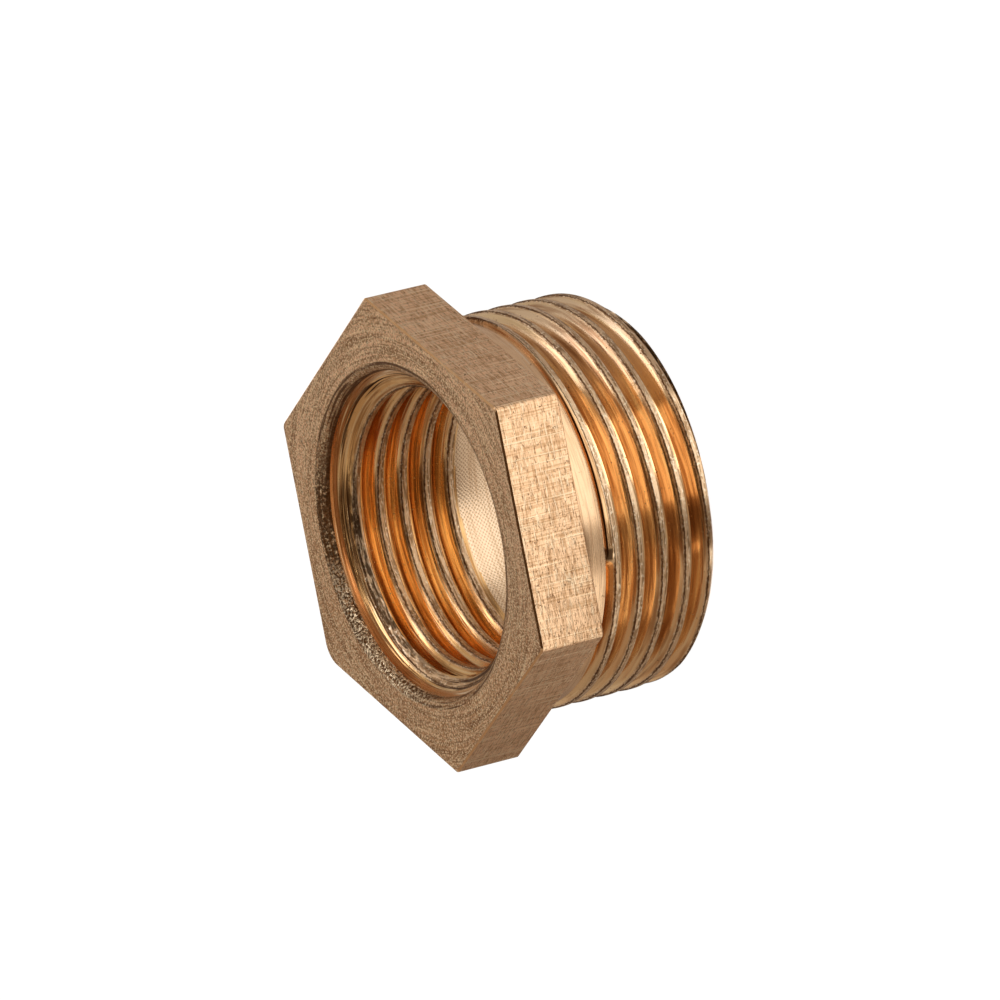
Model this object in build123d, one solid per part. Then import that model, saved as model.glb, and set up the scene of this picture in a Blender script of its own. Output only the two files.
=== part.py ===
from build123d import *
from build123d.topology import SkipClean
import math
import os

# Hex reducing bushing, turned from one length of brass hex bar.
# Frame in millimetres: +Z up, origin at the centre of the male end face,
# which the bushing stands on. The hex collar is on top, with corners on +X and -X.

# Hex collar
HEX_ACROSS_FLATS = 27.4
HEX_THICKNESS = 4.8
HEX_CORNER_RADIUS = 0.45
WORN_CORNER_RADIUS = 1.8
WORN_CORNER_ANGLE = 120.0
HEX_EDGE_BREAK = 0.12

# Shank below the collar: plain neck, then the male thread
SHANK_LENGTH = 10.7
NECK_LENGTH = 1.82
NECK_STEP = 0.3
SHOULDER_RADIUS = 0.4
END_CHAMFER = 0.75

# Thread form shared by both ends: 14 threads per inch, 55 degrees between flanks
THREAD_PITCH = 25.4 / 14
HALF_FLANK_ANGLE = 27.5

# Male thread, nominal three quarter inch
MALE_CREST_RADIUS = 13.2
MALE_THREAD_DEPTH = 1.14
MALE_ROOT_ROUND = 0.15
MALE_START_ANGLE = -97.0

# Female thread, nominal half inch, in the bore under the hex face
BORE_RADIUS = 9.45
FEMALE_THREAD_DEPTH = 1.03
FEMALE_ROOT_ROUND = 0.24
FEMALE_START_ANGLE = -85.6
FEMALE_TURNS = 5
BORE_EXIT_CHAMFER = 0.3

# Bore mouth in the hex face: rounded lip, short counterbore, lead-in cone
COUNTERBORE_RADIUS = 10.85
COUNTERBORE_DEPTH = 1.05
LIP_RADIUS = 0.75
LEAD_IN_DEPTH = 0.85

# Working allowances
CUTTER_OVERRUN = 0.2
SECTOR_COUNT = 8

total_length = SHANK_LENGTH + HEX_THICKNESS
neck_radius = MALE_CREST_RADIUS - NECK_STEP
male_thread_length = SHANK_LENGTH - NECK_LENGTH
exit_radius = BORE_RADIUS + BORE_EXIT_CHAMFER
lip_outer_radius = COUNTERBORE_RADIUS + LIP_RADIUS


def groove_profile(crest_radius, depth, root_round, inward):
    """Groove section in the XZ plane: two straight flanks and a round root.

    inward is +1 for a groove cut towards the axis and -1 for one cut away from it. The
    flanks run on past the crest by the overrun, so that the cutter leaves a clean edge.
    """
    half_angle = math.radians(HALF_FLANK_ANGLE)
    sharp_depth = depth + root_round * (1 / math.sin(half_angle) - 1) + CUTTER_OVERRUN
    half_width = sharp_depth * math.tan(half_angle)
    arc_centre = crest_radius - inward * (depth - root_round)
    tangent_x = arc_centre - inward * root_round * math.sin(half_angle)
    tangent_z = root_round * math.cos(half_angle)
    root_x = crest_radius - inward * depth
    open_x = crest_radius + inward * CUTTER_OVERRUN
    lower_flank = Line((open_x, -half_width), (tangent_x, -tangent_z))
    root = ThreePointArc((tangent_x, -tangent_z), (root_x, 0), (tangent_x, tangent_z))
    upper_flank = Line((tangent_x, tangent_z), (open_x, half_width))
    mouth = Line((open_x, half_width), (open_x, -half_width))
    return Plane.XZ * make_face(lower_flank + root + upper_flank + mouth)


def helical_groove(profile, radius, start_height, start_angle, turns):
    """Right-hand helical cutter in one-turn pieces, climbing from start_height."""
    path = Helix(pitch=THREAD_PITCH, height=THREAD_PITCH, radius=radius)
    turn = Rot(0, 0, start_angle) * sweep(profile, path=path, is_frenet=True)
    return [Pos(0, 0, start_height + i * THREAD_PITCH) * turn for i in range(turns)]


def hex_collar():
    """Hexagonal collar with rounded corners, one of them worn, and broken rims."""
    outline = RegularPolygon(radius=HEX_ACROSS_FLATS / 2, side_count=6, major_radius=False)
    prism = Pos(0, 0, SHANK_LENGTH) * extrude(outline, HEX_THICKNESS)
    upright = prism.edges().filter_by(Axis.Z)
    prism = fillet([edge for edge in upright if is_worn_corner(edge)], WORN_CORNER_RADIUS)
    upright = prism.edges().filter_by(Axis.Z)
    prism = fillet([edge for edge in upright if is_sharp_corner(edge)], HEX_CORNER_RADIUS)
    rims = prism.faces().filter_by(Axis.Z).edges()
    return chamfer(rims, HEX_EDGE_BREAK)


def is_sharp_corner(edge):
    """True for an upright edge that is still at a full hex corner."""
    middle = edge @ 0.5
    return math.hypot(middle.X, middle.Y) > HEX_ACROSS_FLATS / math.sqrt(3) - 0.01


def is_worn_corner(edge):
    """True for the upright hex edge at the corner that is worn round."""
    middle = edge @ 0.5
    angle = math.degrees(math.atan2(middle.Y, middle.X))
    return abs(angle - WORN_CORNER_ANGLE) < 1.0


def turned_sectors(outline):
    """Full turn of equal revolved sectors, so that each thread crest is a row of short patches."""
    section = make_face(Plane.XZ * outline)
    step = 360 / SECTOR_COUNT
    sectors = [Rot(0, 0, i * step) * revolve(section, Axis.Z, step) for i in range(SECTOR_COUNT)]
    return sectors[0].fuse(*sectors[1:])


def threaded_shank():
    """Male thread on its own length of the shank, with the chamfered end face at z = 0."""
    outline = Polyline(
        (0, 0),
        (MALE_CREST_RADIUS - END_CHAMFER, 0),
        (MALE_CREST_RADIUS, END_CHAMFER),
        (MALE_CREST_RADIUS, male_thread_length),
        (0, male_thread_length),
        close=True,
    )
    blank = turned_sectors(outline)
    profile = groove_profile(MALE_CREST_RADIUS, MALE_THREAD_DEPTH, MALE_ROOT_ROUND, 1)
    turns = math.ceil(male_thread_length / THREAD_PITCH) + 2
    cutter = helical_groove(profile, MALE_CREST_RADIUS, -THREAD_PITCH, MALE_START_ANGLE, turns)
    return blank.cut(*cutter)


def neck():
    """Plain neck between the end of the thread and the collar, with a rounded shoulder."""
    shoulder = RadiusArc(
        (neck_radius, SHANK_LENGTH - SHOULDER_RADIUS),
        (neck_radius + SHOULDER_RADIUS, SHANK_LENGTH),
        SHOULDER_RADIUS,
    )
    inner = Polyline(
        (neck_radius + SHOULDER_RADIUS, SHANK_LENGTH),
        (0, SHANK_LENGTH),
        (0, male_thread_length),
        (neck_radius, male_thread_length),
        (neck_radius, SHANK_LENGTH - SHOULDER_RADIUS),
    )
    return revolve(make_face(Plane.XZ * (inner + shoulder)), Axis.Z)


def bore():
    """Through bore with its rounded mouth, counterbore, lead-in cone and exit chamfer."""
    lip_bottom = total_length - LIP_RADIUS
    shelf = total_length - COUNTERBORE_DEPTH
    cone_bottom = shelf - LEAD_IN_DEPTH
    lip = RadiusArc(
        (COUNTERBORE_RADIUS, lip_bottom), (lip_outer_radius, total_length), LIP_RADIUS
    )
    inner = Polyline(
        (0, 0),
        (exit_radius, 0),
        (BORE_RADIUS, BORE_EXIT_CHAMFER),
        (BORE_RADIUS, cone_bottom),
        (COUNTERBORE_RADIUS, shelf),
        (COUNTERBORE_RADIUS, lip_bottom),
    )
    outer = Polyline((lip_outer_radius, total_length), (0, total_length), (0, 0))
    return turned_sectors(inner + lip + outer)


def female_grooves():
    """Female thread cutter, from above the hex face down into the bore."""
    profile = groove_profile(BORE_RADIUS, FEMALE_THREAD_DEPTH, FEMALE_ROOT_ROUND, -1)
    start_height = total_length - FEMALE_TURNS * THREAD_PITCH
    return helical_groove(
        profile, BORE_RADIUS, start_height, FEMALE_START_ANGLE, FEMALE_TURNS + 1
    )


with SkipClean():
    bushing = threaded_shank().fuse(neck(), hex_collar())
    bushing = bushing.cut(bore())
    bushing = bushing.cut(*female_grooves())

os.makedirs("parts", exist_ok=True)
export_step(bushing, "parts/bushing.step")
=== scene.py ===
"""Hex reducing bushing in brass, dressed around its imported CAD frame.

The bushing is one turned piece: a hexagonal collar, a plain neck, a male pipe thread and a
through bore with a female pipe thread. Its blank is lofted as one closed run of rings, and a
Geometry Nodes tree then cuts both helical threads into it. All lengths here are millimetres
until a mesh or a node is made, and metres from there on.
"""
import logging
import math
from collections.abc import Iterable, Mapping
from dataclasses import dataclass, field
from enum import Enum, IntEnum

import bmesh
import bpy
import numpy as np
from mathutils import Matrix, Vector

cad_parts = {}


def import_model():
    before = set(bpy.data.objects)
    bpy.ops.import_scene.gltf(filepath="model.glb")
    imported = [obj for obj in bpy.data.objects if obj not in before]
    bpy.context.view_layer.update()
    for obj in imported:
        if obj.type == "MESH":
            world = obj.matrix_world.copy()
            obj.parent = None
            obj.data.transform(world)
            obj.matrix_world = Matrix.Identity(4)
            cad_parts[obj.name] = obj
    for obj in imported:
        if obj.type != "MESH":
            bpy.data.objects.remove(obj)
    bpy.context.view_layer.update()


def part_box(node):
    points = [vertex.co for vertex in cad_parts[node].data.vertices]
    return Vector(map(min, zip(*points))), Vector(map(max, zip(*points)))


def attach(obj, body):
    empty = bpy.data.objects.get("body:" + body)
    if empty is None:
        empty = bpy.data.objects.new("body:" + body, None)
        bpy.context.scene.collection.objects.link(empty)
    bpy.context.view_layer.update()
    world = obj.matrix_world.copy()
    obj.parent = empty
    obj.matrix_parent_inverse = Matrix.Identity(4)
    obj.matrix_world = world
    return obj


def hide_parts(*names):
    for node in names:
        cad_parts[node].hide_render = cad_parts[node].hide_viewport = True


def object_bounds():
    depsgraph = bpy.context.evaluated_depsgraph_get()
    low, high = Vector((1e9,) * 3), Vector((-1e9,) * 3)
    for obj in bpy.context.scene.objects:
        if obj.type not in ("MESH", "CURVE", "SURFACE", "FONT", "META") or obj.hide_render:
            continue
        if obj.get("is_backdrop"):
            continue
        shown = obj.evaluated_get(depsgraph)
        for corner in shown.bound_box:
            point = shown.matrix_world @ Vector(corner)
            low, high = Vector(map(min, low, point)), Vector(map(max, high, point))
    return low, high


MM = 0.001
NODE = "bushing"
COLUMNS = 450
ROWS_PER_PITCH = 16
WELD_DISTANCE = 0.001 * MM
SHARP_EDGE_ANGLE = math.radians(34.0)
FULL_TURN = 2 * math.pi

log = logging.getLogger("bushing")


class Region(IntEnum):
    """Machined surfaces of the bushing, in the order in which the rings meet them."""

    END_FACE = 0
    MALE_THREAD = 1
    NECK = 2
    SEAT = 3
    FLATS = 4
    EDGE = 5
    HEX_FACE = 6
    LIP = 7
    MOUTH = 8
    FEMALE_THREAD = 9
    BORE = 10


class Side(Enum):
    """Which way a thread groove is cut from its crest: towards the axis or away from it."""

    TOWARDS_AXIS = 1.0
    FROM_AXIS = -1.0


def linear(colour: str) -> tuple[float, float, float, float]:
    """Turns an sRGB hex colour into linear light.

    Args:
        colour: six hex digits after a hash, such as "#EDC393".

    Returns:
        Red, green, blue and an alpha of 1.
    """
    parts = [int(colour[i:i + 2], 16) / 255 for i in (1, 3, 5)]
    light = [c / 12.92 if c <= 0.04045 else ((c + 0.055) / 1.055) ** 2.4 for c in parts]
    return (*light, 1.0)


def add(tree: bpy.types.NodeTree, kind: str, inputs: Iterable | Mapping = (),
        **settings: object) -> bpy.types.Node:
    """Adds one node with its settings, values and links.

    Args:
        tree: the tree that gets the node.
        kind: the node's type name.
        inputs: values, sockets or nodes, in order or by input name. None leaves an input be.
        **settings: the node's own properties.

    Returns:
        The new node. A node passed as an input stands for its first output.
    """
    node = tree.nodes.new(kind)
    for name, value in settings.items():
        setattr(node, name, value)
    pairs = inputs.items() if isinstance(inputs, Mapping) else enumerate(inputs)
    for key, value in pairs:
        if value is None:
            continue
        source = value.outputs[0] if isinstance(value, bpy.types.Node) else value
        if isinstance(source, bpy.types.NodeSocket):
            tree.links.new(source, node.inputs[key])
        else:
            node.inputs[key].default_value = source
    return node


@dataclass
class Ring:
    """One row of points round the bushing.

    Attributes:
        radius: radius at each column, in mm.
        height: height above the male end face, in mm.
        region: the surface between this ring and the next one.
        cut: the thread that shapes this ring, or None where it is plain.
        climbs: whether the ring follows the helix of that thread.
    """

    radius: np.ndarray
    height: float
    region: Region
    cut: Region | None = None
    climbs: bool = False


class Columns:
    """Directions of the mesh columns round the axis, closer together at the hex corners."""

    CROWDING = 0.72

    def __init__(self, count: int) -> None:
        """Spreads the columns over one whole turn, with the last one back at the first.

        Args:
            count: number of columns in a turn, a multiple of six.
        """
        even = np.arange(count + 1) * FULL_TURN / count
        self.angles = even - self.CROWDING * np.sin(6 * even) / 6
        self.turns = self.angles / FULL_TURN

    def circle(self, radius: float) -> np.ndarray:
        """Returns one radius at every column."""
        return np.full(len(self.angles), radius)


@dataclass
class HexCollar:
    """Hexagonal collar that a wrench holds, with one corner worn round.

    Attributes:
        across_flats: width between two opposite flats, in mm, as are all lengths here.
        underside: height of its face towards the thread.
        top: height of the hex face.
        corner_radius: rounding of the sharp corners.
        worn_corner_radius: rounding of the worn one.
        worn_corner: bearing of the worn corner, in degrees.
        edge_break: how far the rims of both faces are broken.
        side_rows: rows of points up the flats.
        face_rows: rows of points across the hex face.
    """

    across_flats: float
    underside: float
    top: float
    corner_radius: float = 0.46
    worn_corner_radius: float = 1.8
    worn_corner: float = 120.0
    edge_break: float = 0.12
    side_rows: int = 10
    face_rows: int = 4

    def outline(self, columns: Columns, inset: float = 0.0) -> np.ndarray:
        """Works out the hexagon's radius at each column.

        Args:
            columns: the directions to work it out for.
            inset: distance by which the outline lies inside the collar's sides, in mm.

        Returns:
            Radii in mm, with the corners rounded.
        """
        apothem = self.across_flats / 2 - inset
        sixth = math.pi / 3
        corner = np.round(columns.angles / sixth) * sixth
        off_corner = np.abs(columns.angles - corner)
        flat = apothem / np.cos(sixth / 2 - off_corner)
        worn = np.abs(np.degrees(corner) - self.worn_corner) < 1.0
        rounding = np.where(worn, self.worn_corner_radius, self.corner_radius)
        centre = (apothem - rounding) / math.cos(sixth / 2)
        tangent = sixth / 2 - np.arctan((1 - rounding / apothem) * math.tan(sixth / 2))
        chord = np.maximum(rounding**2 - (centre * np.sin(off_corner)) ** 2, 0.0)
        arc = centre * np.cos(off_corner) + np.sqrt(chord)
        return np.where(off_corner < tangent, arc, flat)

    def rings(self, columns: Columns, inner: float, mouth: float) -> list[Ring]:
        """Lays the collar's rings from its underside, up the flats and in over the hex face.

        Args:
            columns: the mesh columns.
            inner: radius where the underside begins, in mm.
            mouth: radius where the hex face ends at the bore, in mm.

        Returns:
            The rings in order.
        """
        broken = self.outline(columns, self.edge_break)
        side = self.outline(columns)
        rings = [
            Ring(columns.circle(inner), self.underside, Region.SEAT),
            Ring(broken, self.underside, Region.FLATS),
        ]
        low, high = self.underside + self.edge_break, self.top - self.edge_break
        for height in np.linspace(low, high, self.side_rows):
            rings.append(Ring(side, float(height), Region.FLATS))
        rings[-1].region = Region.EDGE
        for share in np.linspace(0.0, 1.0, self.face_rows, endpoint=False):
            radius = broken + (mouth - broken) * share
            rings.append(Ring(radius, self.top, Region.HEX_FACE))
        return rings


@dataclass
class PipeThread:
    """One parallel pipe thread: its form, where it runs and how it is cut into the blank.

    Attributes:
        region: the surface that it is cut into.
        side: which way its groove goes from the crest.
        crest_radius: radius of its crests, in mm, as are all lengths here.
        depth: depth of the groove.
        root_radius: rounding of the groove's root.
        groove_height: height of the groove's middle at bearing 0 on turn 0.
        low: height where the thread begins.
        high: height where it ends.
        first_turn: turn on which the groove begins, counted along the helix.
        last_turn: turn on which it ends.
        run_out: turns over which it fades in and out.
        cone_radius: radius of the end chamfer or lead-in cone at cone_height.
        cone_height: height at which that radius is taken.
        cone_slope: how fast the cone's radius grows with height.
        pitch: distance between two crests.
        half_flank_angle: half the angle between the flanks.
        tear: how deep the crest's edge is torn.
        tear_width: how far the tears reach to each side of the edge.
        tear_length: length of one tear along the edge.
        shoulder: height of the step up from the neck, or one out of reach where there is none.
        easing: width of the eased strip on the hex side of each crest.
        eased_angle: half angle of that strip.
    """

    region: Region
    side: Side
    crest_radius: float
    depth: float
    root_radius: float
    groove_height: float
    low: float
    high: float
    first_turn: float
    last_turn: float
    run_out: float
    cone_radius: float
    cone_height: float
    cone_slope: float
    pitch: float = 25.4 / 14
    half_flank_angle: float = math.radians(27.5)
    tear: float = 0.05
    tear_width: float = 0.17
    tear_length: float = 0.4
    shoulder: float = 1000.0
    easing: float = 0.10
    eased_angle: float = math.radians(36.0)

    @property
    def half_width(self) -> float:
        """Half the groove's width at the crest, in mm."""
        sharp = self.depth + self.root_radius * (1 / math.sin(self.half_flank_angle) - 1)
        return sharp * math.tan(self.half_flank_angle)

    @property
    def root_tangent(self) -> float:
        """Distance from the groove's middle to where the round root meets a flank, in mm."""
        return self.root_radius * math.cos(self.half_flank_angle)

    def helical_rings(self, columns: Columns) -> list[Ring]:
        """Lays rings that will climb with the helix, from one pitch under the thread to its top.

        Args:
            columns: the mesh columns.

        Returns:
            The rings, lowest first. Their steps fall on the middle of each crest and groove.
        """
        step = self.pitch / ROWS_PER_PITCH
        first = math.floor((self.low - self.pitch - self.groove_height) / step)
        last = math.ceil((self.high - self.groove_height) / step)
        radius = columns.circle(self.crest_radius)
        return [
            Ring(radius, self.groove_height + row * step, self.region, self.region, True)
            for row in range(first, last + 1)
        ]

    def cone_rings(self, columns: Columns, heights: np.ndarray) -> list[Ring]:
        """Lays level rings over the chamfer or lead-in cone at one end of the thread.

        Args:
            columns: the mesh columns.
            heights: height of each ring, in mm.

        Returns:
            The rings in that order.
        """
        radius = columns.circle(self.crest_radius)
        return [Ring(radius, float(h), self.region, self.region) for h in heights]

    def values(self) -> dict[str, float]:
        """Lists the tree's inputs for this thread.

        Returns:
            Each input's value by its name, with lengths in metres and angles in radians.
        """
        return {
            "Region": int(self.region),
            "Side": self.side.value,
            "Crest radius": self.crest_radius * MM,
            "Groove depth": self.depth * MM,
            "Root radius": self.root_radius * MM,
            "Root tangent": self.root_tangent * MM,
            "Half width": self.half_width * MM,
            "Flank angle": self.half_flank_angle,
            "Easing": self.easing * MM,
            "Eased angle": self.eased_angle,
            "Pitch": self.pitch * MM,
            "Groove height": self.groove_height * MM,
            "Low": self.low * MM,
            "High": self.high * MM,
            "First turn": self.first_turn,
            "Last turn": self.last_turn,
            "Run-out": self.run_out,
            "Cone radius": self.cone_radius * MM,
            "Cone height": self.cone_height * MM,
            "Cone slope": self.cone_slope,
            "Tear": self.tear * MM,
            "Tear width": self.tear_width * MM,
            "Tear length": self.tear_length * MM,
        }


class ThreadCutter:
    """Geometry Nodes tree that cuts one helical thread into the bushing's blank."""

    FLOATS = (
        "Side", "Crest radius", "Groove depth", "Root radius", "Root tangent", "Half width",
        "Flank angle", "Easing", "Eased angle", "Pitch", "Groove height", "Low", "High",
        "First turn", "Last turn", "Run-out", "Cone radius", "Cone height", "Cone slope",
        "Tear", "Tear width", "Tear length",
    )

    # Share of a pitch from a groove's middle to where the next groove's turn begins. Rows lie
    # exactly on the crest's middle, at 0.5, so the border stays a little to one side of it.
    TURN_BORDER = 0.48
    # Noise level of a tear that lies level with the crest: most tears then stand in from it.
    TEAR_LEVEL = 0.42
    # Share of the groove's depth below which the surface counts as uncut.
    UNCUT_SHARE = 0.001

    def __init__(self) -> None:
        """Builds the tree, with a named input for each size of a thread."""
        self.tree = bpy.data.node_groups.new("helical_thread", "GeometryNodeTree")
        face = self.tree.interface
        face.new_socket("Blank", in_out="INPUT", socket_type="NodeSocketGeometry")
        face.new_socket("Region", in_out="INPUT", socket_type="NodeSocketInt")
        for name in self.FLOATS:
            face.new_socket(name, in_out="INPUT", socket_type="NodeSocketFloat")
        face.new_socket("Finish", in_out="INPUT", socket_type="NodeSocketMaterial")
        face.new_socket("Plain finish", in_out="INPUT", socket_type="NodeSocketMaterial")
        face.new_socket("Threaded", in_out="OUTPUT", socket_type="NodeSocketGeometry")
        self.given = add(self.tree, "NodeGroupInput").outputs
        self._build()

    def _build(self) -> None:
        """Links height, groove, torn crest and cone into one displaced, dressed surface."""
        tree = self.tree
        turn = add(tree, "GeometryNodeInputNamedAttribute", ["turn"], data_type="FLOAT")
        rise = add(tree, "ShaderNodeMath", [self.given["Pitch"], turn], operation="MULTIPLY")
        angle = add(tree, "ShaderNodeMath", [turn, FULL_TURN], operation="MULTIPLY")
        cosine = add(tree, "ShaderNodeMath", [angle], operation="COSINE")
        sine = add(tree, "ShaderNodeMath", [angle], operation="SINE")
        spoke = add(tree, "ShaderNodeCombineXYZ", [cosine, sine, 0.0])

        height = self._height(rise)
        across = self._across(height, rise)
        share = self._share(height, across)
        groove = add(tree, "ShaderNodeMath", [self._groove(across), share], operation="MULTIPLY")
        groove = add(tree, "ShaderNodeMath", [groove, self._tear(across, height, spoke)],
                     operation="ADD")
        radius = self._radius(groove, height)
        flat = add(tree, "ShaderNodeVectorMath", {0: spoke, "Scale": radius}, operation="SCALE")
        up = add(tree, "ShaderNodeCombineXYZ", [0.0, 0.0, height])
        place = add(tree, "ShaderNodeVectorMath", [flat, up], operation="ADD")
        self._dress(place, share)

    def _height(self, rise: bpy.types.Node) -> bpy.types.Node:
        """Lifts the climbing rows along the helix and keeps them within the thread's length.

        Args:
            rise: how far the helix has climbed at the point's bearing.

        Returns:
            The point's new height.
        """
        tree, given = self.tree, self.given
        climbs = add(tree, "GeometryNodeInputNamedAttribute", ["climbs"], data_type="FLOAT")
        place = add(tree, "ShaderNodeSeparateXYZ", [add(tree, "GeometryNodeInputPosition")])
        row = place.outputs["Z"]
        raised = add(tree, "ShaderNodeMath", [row, rise], operation="ADD")
        kept = add(tree, "ShaderNodeClamp", [raised, given["Low"], given["High"]])
        return add(tree, "ShaderNodeMix", {"Factor": climbs, "A": row, "B": kept})

    def _across(self, height: bpy.types.Node, rise: bpy.types.Node) -> bpy.types.Node:
        """Measures how far the point lies above the middle of its nearest groove.

        Args:
            height: the point's height.
            rise: how far the helix has climbed at the point's bearing.

        Returns:
            The distance, negative below the middle.
        """
        tree, given = self.tree, self.given
        under = add(tree, "ShaderNodeMath", [height, rise], operation="SUBTRACT")
        start = add(tree, "ShaderNodeMath", [under, given["Groove height"]], operation="SUBTRACT")
        most = add(tree, "ShaderNodeMath", [given["Pitch"], self.TURN_BORDER],
                   operation="MULTIPLY")
        least = add(tree, "ShaderNodeMath", [given["Pitch"], self.TURN_BORDER - 1],
                    operation="MULTIPLY")
        return add(tree, "ShaderNodeMath", [start, most, least], operation="WRAP")

    def _groove(self, across: bpy.types.Node) -> bpy.types.Node:
        """Works out the groove's depth: straight flanks, a round root and one eased shoulder.

        Args:
            across: distance from the groove's middle.

        Returns:
            The depth, 0 on the crest.
        """
        tree, given = self.tree, self.given
        away = add(tree, "ShaderNodeMath", [across], operation="ABSOLUTE")
        slope = add(tree, "ShaderNodeMath", [given["Flank angle"]], operation="TANGENT")
        room = add(tree, "ShaderNodeMath", [given["Half width"], away], operation="SUBTRACT")
        flank = add(tree, "ShaderNodeMath", [room, slope], operation="DIVIDE")

        eased = add(tree, "ShaderNodeMath", [room, given["Easing"]], operation="ADD")
        gentle = add(tree, "ShaderNodeMath", [given["Eased angle"]], operation="TANGENT")
        eased = add(tree, "ShaderNodeMath", [eased, gentle], operation="DIVIDE")
        below = add(tree, "ShaderNodeMath", [across, 0.0], operation="LESS_THAN")
        eased = add(tree, "ShaderNodeMath", [eased, below], operation="MULTIPLY")
        flank = add(tree, "ShaderNodeMath", [flank, eased], operation="MAXIMUM")

        own = add(tree, "ShaderNodeMath", [given["Root radius"], given["Root radius"]],
                  operation="MULTIPLY")
        off = add(tree, "ShaderNodeMath", [away, away], operation="MULTIPLY")
        chord = add(tree, "ShaderNodeMath", [own, off], operation="SUBTRACT")
        chord = add(tree, "ShaderNodeMath", [chord, 0.0], operation="MAXIMUM")
        bow = add(tree, "ShaderNodeMath", [chord], operation="SQRT")
        centre = add(tree, "ShaderNodeMath", [given["Groove depth"], given["Root radius"]],
                     operation="SUBTRACT")
        root = add(tree, "ShaderNodeMath", [centre, bow], operation="ADD")
        in_root = add(tree, "ShaderNodeMath", [away, given["Root tangent"]],
                      operation="LESS_THAN")
        groove = add(tree, "ShaderNodeMix", {"Factor": in_root, "A": flank, "B": root})
        return add(tree, "ShaderNodeMath", [groove, 0.0], operation="MAXIMUM")

    def _share(self, height: bpy.types.Node, across: bpy.types.Node) -> bpy.types.Node:
        """Fades the groove in at its first turn and out at its last one.

        Args:
            height: the point's height.
            across: distance from the groove's middle.

        Returns:
            Share of the full depth at the point, from 0 to 1.
        """
        tree, given = self.tree, self.given
        middle = add(tree, "ShaderNodeMath", [height, across], operation="SUBTRACT")
        middle = add(tree, "ShaderNodeMath", [middle, given["Groove height"]],
                     operation="SUBTRACT")
        helix = add(tree, "ShaderNodeMath", [middle, given["Pitch"]], operation="DIVIDE")
        begun = add(tree, "ShaderNodeMath", [helix, given["First turn"]], operation="SUBTRACT")
        begun = add(tree, "ShaderNodeMath", [begun, given["Run-out"]], operation="DIVIDE",
                    use_clamp=True)
        left = add(tree, "ShaderNodeMath", [given["Last turn"], helix], operation="SUBTRACT")
        left = add(tree, "ShaderNodeMath", [left, given["Run-out"]], operation="DIVIDE",
                   use_clamp=True)
        return add(tree, "ShaderNodeMath", [begun, left], operation="MULTIPLY")

    def _tear(self, across: bpy.types.Node, height: bpy.types.Node,
              spoke: bpy.types.Node) -> bpy.types.Node:
        """Tears the crest's hex-side edge unevenly.

        Args:
            across: distance from the groove's middle.
            height: the point's height.
            spoke: unit vector from the axis to the point.

        Returns:
            Depth of the tear, negative where metal stands up.
        """
        tree, given = self.tree, self.given
        reach = add(tree, "ShaderNodeMath", [given["Crest radius"], given["Tear length"]],
                    operation="DIVIDE")
        level = add(tree, "ShaderNodeMath", [height, given["Tear length"]], operation="DIVIDE")
        spot = add(tree, "ShaderNodeVectorMath", {0: spoke, "Scale": reach}, operation="SCALE")
        lift = add(tree, "ShaderNodeCombineXYZ", [0.0, 0.0, level])
        spot = add(tree, "ShaderNodeVectorMath", [spot, lift], operation="ADD")
        ragged = add(tree, "ShaderNodeTexNoise", {"Vector": spot, "Scale": 1.0, "Detail": 2.0})
        ragged = add(tree, "ShaderNodeMath", [ragged, self.TEAR_LEVEL], operation="SUBTRACT")

        edge = add(tree, "ShaderNodeMath", [across, given["Half width"]], operation="ADD")
        edge = add(tree, "ShaderNodeMath", [edge, given["Easing"]], operation="ADD")
        edge = add(tree, "ShaderNodeMath", [edge], operation="ABSOLUTE")
        edge = add(tree, "ShaderNodeMath", [edge, given["Tear width"]], operation="DIVIDE")
        edge = add(tree, "ShaderNodeMath", [1.0, edge], operation="SUBTRACT", use_clamp=True)
        torn = add(tree, "ShaderNodeMath", [ragged, edge], operation="MULTIPLY")
        return add(tree, "ShaderNodeMath", [torn, given["Tear"]], operation="MULTIPLY")

    def _radius(self, groove: bpy.types.Node, height: bpy.types.Node) -> bpy.types.Node:
        """Takes the groove from the crest, or the chamfer or lead-in cone where it cuts deeper.

        Args:
            groove: depth of the groove with its tears.
            height: the point's height.

        Returns:
            The point's new radius.
        """
        tree, given = self.tree, self.given
        inward = add(tree, "ShaderNodeMath", [groove, given["Side"]], operation="MULTIPLY")
        radius = add(tree, "ShaderNodeMath", [given["Crest radius"], inward],
                     operation="SUBTRACT")
        over = add(tree, "ShaderNodeMath", [height, given["Cone height"]], operation="SUBTRACT")
        cone = add(tree, "ShaderNodeMath", [over, given["Cone slope"], given["Cone radius"]],
                   operation="MULTIPLY_ADD")
        signed = add(tree, "ShaderNodeMath", [radius, given["Side"]], operation="MULTIPLY")
        limit = add(tree, "ShaderNodeMath", [cone, given["Side"]], operation="MULTIPLY")
        lesser = add(tree, "ShaderNodeMath", [signed, limit], operation="MINIMUM")
        return add(tree, "ShaderNodeMath", [lesser, given["Side"]], operation="MULTIPLY")

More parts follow.
